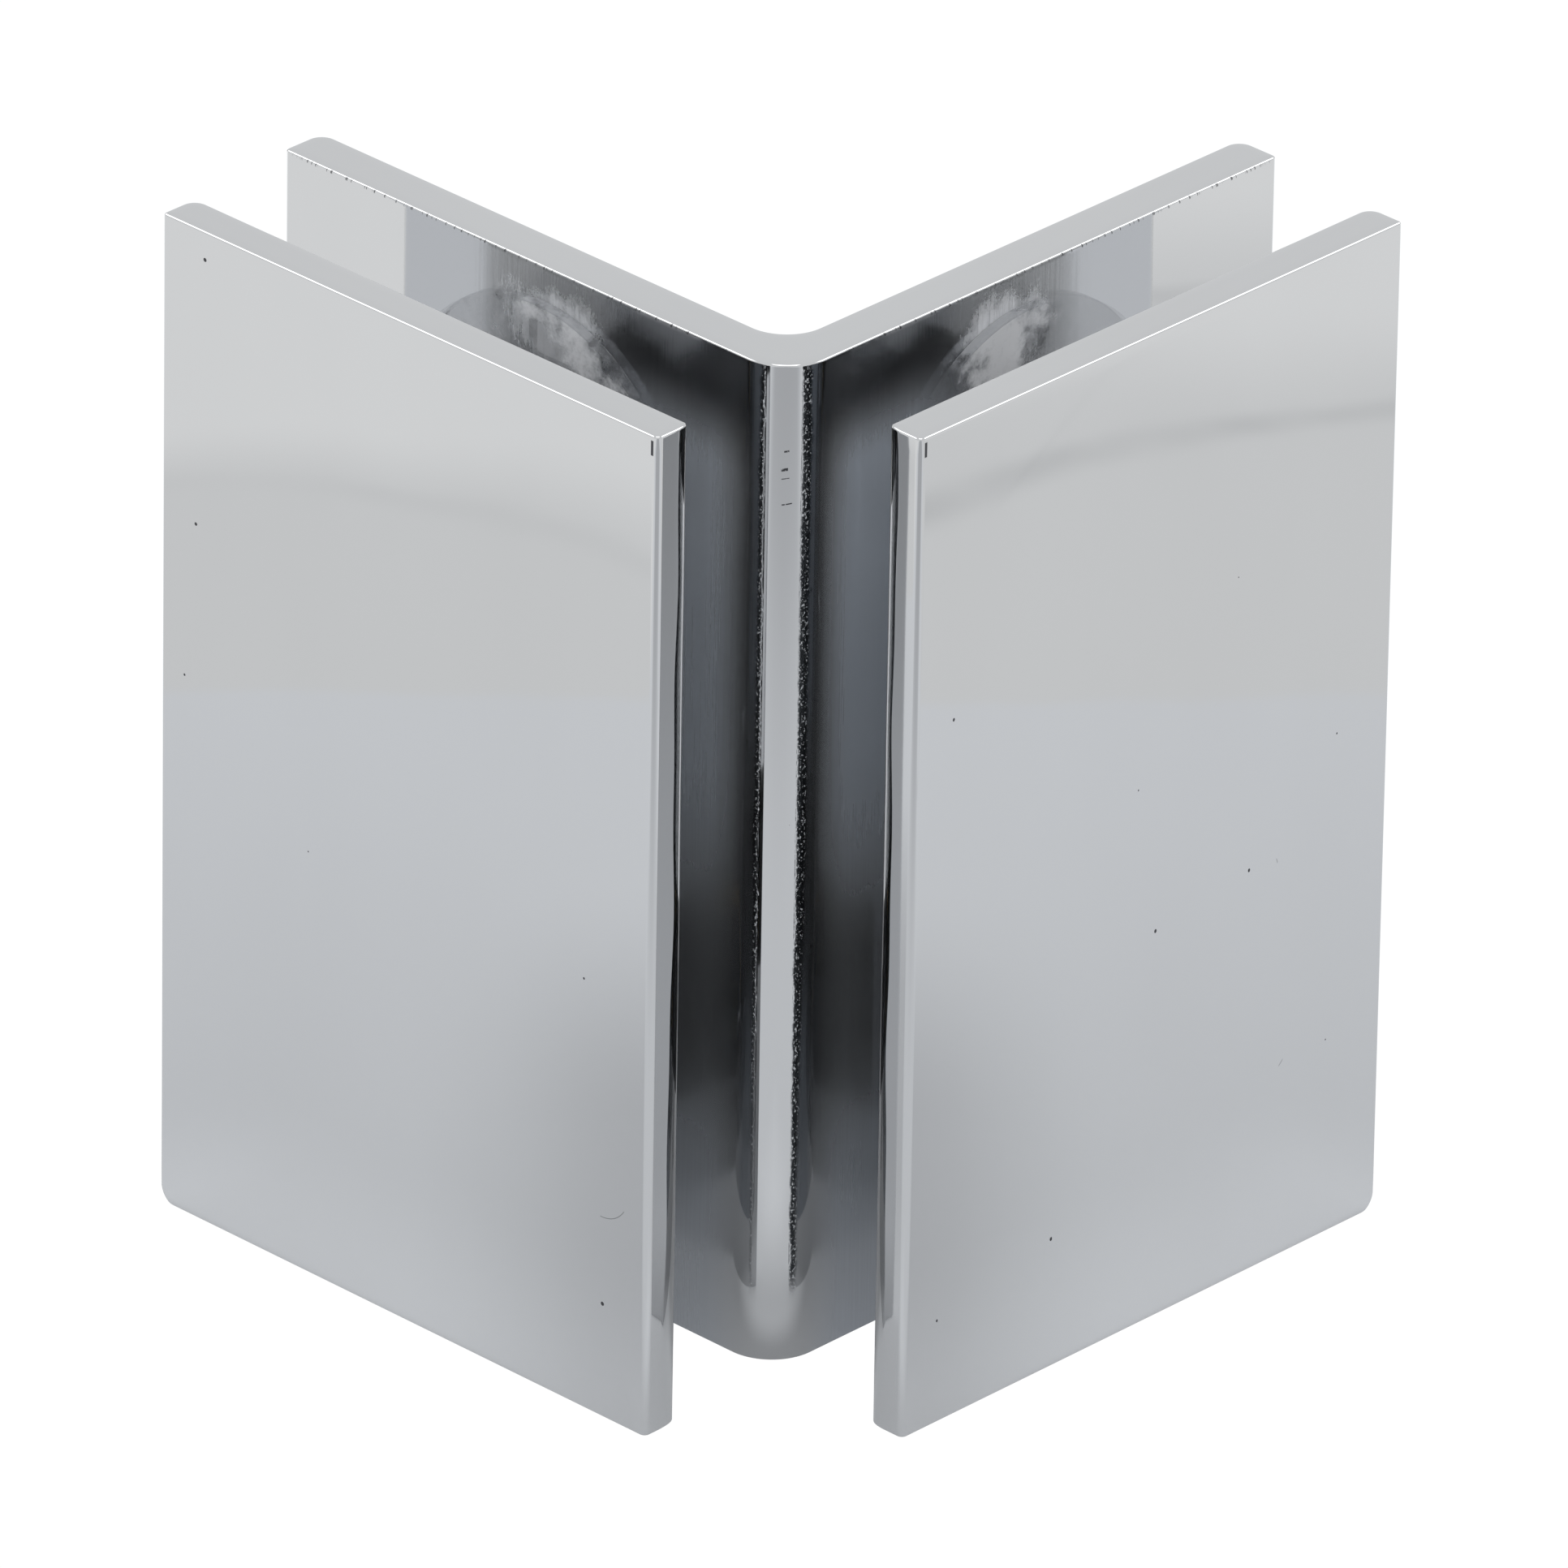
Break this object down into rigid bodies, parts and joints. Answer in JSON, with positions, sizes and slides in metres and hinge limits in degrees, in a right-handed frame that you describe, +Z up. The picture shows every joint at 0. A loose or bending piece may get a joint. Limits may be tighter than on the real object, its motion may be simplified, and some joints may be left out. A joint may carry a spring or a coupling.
{
  "type": "glass-to-glass corner clamp",
  "caption": "Chrome 90 degree clamp that joins two glass panels at a corner: a bent bracket with flat outer plates drawn in by countersunk screws.",
  "frame": {"origin": "middle of the footprint, at the level of the lower edges", "axes": "+X and +Y run along the right and left wings away from the corner; the outside of the corner faces -X and -Y; +Z is up"},
  "size_m": [0.0716, 0.0716, 0.09],
  "materials": {
    "chrome": "polished chrome plating over brass",
    "gasket": "translucent grey vinyl, satin",
    "post": "turned brass",
    "sleeve": "moulded black nylon",
    "screw": "plain stainless steel"
  },
  "bodies": {
    "bracket": {"corner_bracket": "chrome", "left_inner_gasket": "gasket", "right_inner_gasket": "gasket"},
    "right_clamp_plate": {"right_outer_plate": "chrome", "right_outer_gasket": "gasket", "right_upper_post": "post", "right_lower_post": "post", "right_upper_sleeve": "sleeve", "right_lower_sleeve": "sleeve"},
    "right_upper_screw": {"right_upper_screw": "screw"},
    "right_lower_screw": {"right_lower_screw": "screw"},
    "left_clamp_plate": {"left_outer_plate": "chrome", "left_outer_gasket": "gasket", "left_upper_post": "post", "left_lower_post": "post", "left_upper_sleeve": "sleeve", "left_lower_sleeve": "sleeve"},
    "left_upper_screw": {"left_upper_screw": "screw"},
    "left_lower_screw": {"left_lower_screw": "screw"}
  },
  "joints": [
    {"name": "right_clamp", "type": "slide", "parent": "bracket", "child": "right_clamp_plate", "axis": [0, -1, 0], "range_m": [-0.0015, 0.0032]},
    {"name": "right_upper_screw_turn", "type": "hinge", "parent": "bracket", "child": "right_upper_screw", "pos_m": [0.00635, -0.0165, 0.072], "axis": [0, -1, 0], "range_deg": [-1155, 543]},
    {"name": "right_lower_screw_turn", "type": "hinge", "parent": "bracket", "child": "right_lower_screw", "pos_m": [0.00635, -0.0165, 0.018], "axis": [0, -1, 0], "range_deg": [-1155, 543]},
    {"name": "left_clamp", "type": "slide", "parent": "bracket", "child": "left_clamp_plate", "axis": [-1, 0, 0], "range_m": [-0.0015, 0.0032]},
    {"name": "left_upper_screw_turn", "type": "hinge", "parent": "bracket", "child": "left_upper_screw", "pos_m": [-0.0165, 0.00635, 0.072], "axis": [-1, 0, 0], "range_deg": [-1155, 543]},
    {"name": "left_lower_screw_turn", "type": "hinge", "parent": "bracket", "child": "left_lower_screw", "pos_m": [-0.0165, 0.00635, 0.018], "axis": [-1, 0, 0], "range_deg": [-1155, 543]}
  ],
  "couplings": [
    {"joint": "right_upper_screw_turn", "follows": "right_clamp", "rad_per_m": -6283.2},
    {"joint": "right_lower_screw_turn", "follows": "right_clamp", "rad_per_m": -6283.2},
    {"joint": "left_upper_screw_turn", "follows": "left_clamp", "rad_per_m": -6283.2},
    {"joint": "left_lower_screw_turn", "follows": "left_clamp", "rad_per_m": -6283.2}
  ]
}
